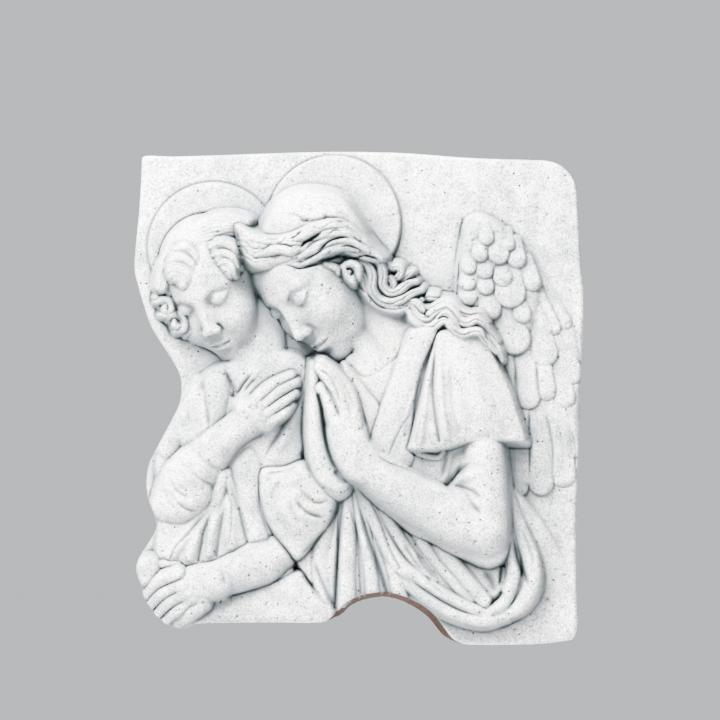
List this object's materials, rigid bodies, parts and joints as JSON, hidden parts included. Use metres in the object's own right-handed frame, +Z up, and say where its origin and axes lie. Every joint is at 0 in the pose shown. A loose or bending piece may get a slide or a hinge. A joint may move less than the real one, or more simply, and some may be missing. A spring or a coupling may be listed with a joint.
{
  "type": "angel relief",
  "caption": "Wall relief cast in pale stone: two haloed angels lean together, one with a raised wing and joined hands, on a slab with a shaped edge.",
  "frame": {"origin": "middle of the panel's height and width on its flat back, where it meets the wall", "axes": "+X to the right as seen from the front, +Y out of the flat back into the wall, +Z up"},
  "size_m": [0.4909, 0.0729, 0.5389],
  "materials": {
    "cast_stone": "matt cast stone, finely pitted, with dark dirt in the deepest folds and pale warm stains"
  },
  "bodies": {
    "root": {"angel_relief": "cast_stone"}
  },
  "joints": []
}
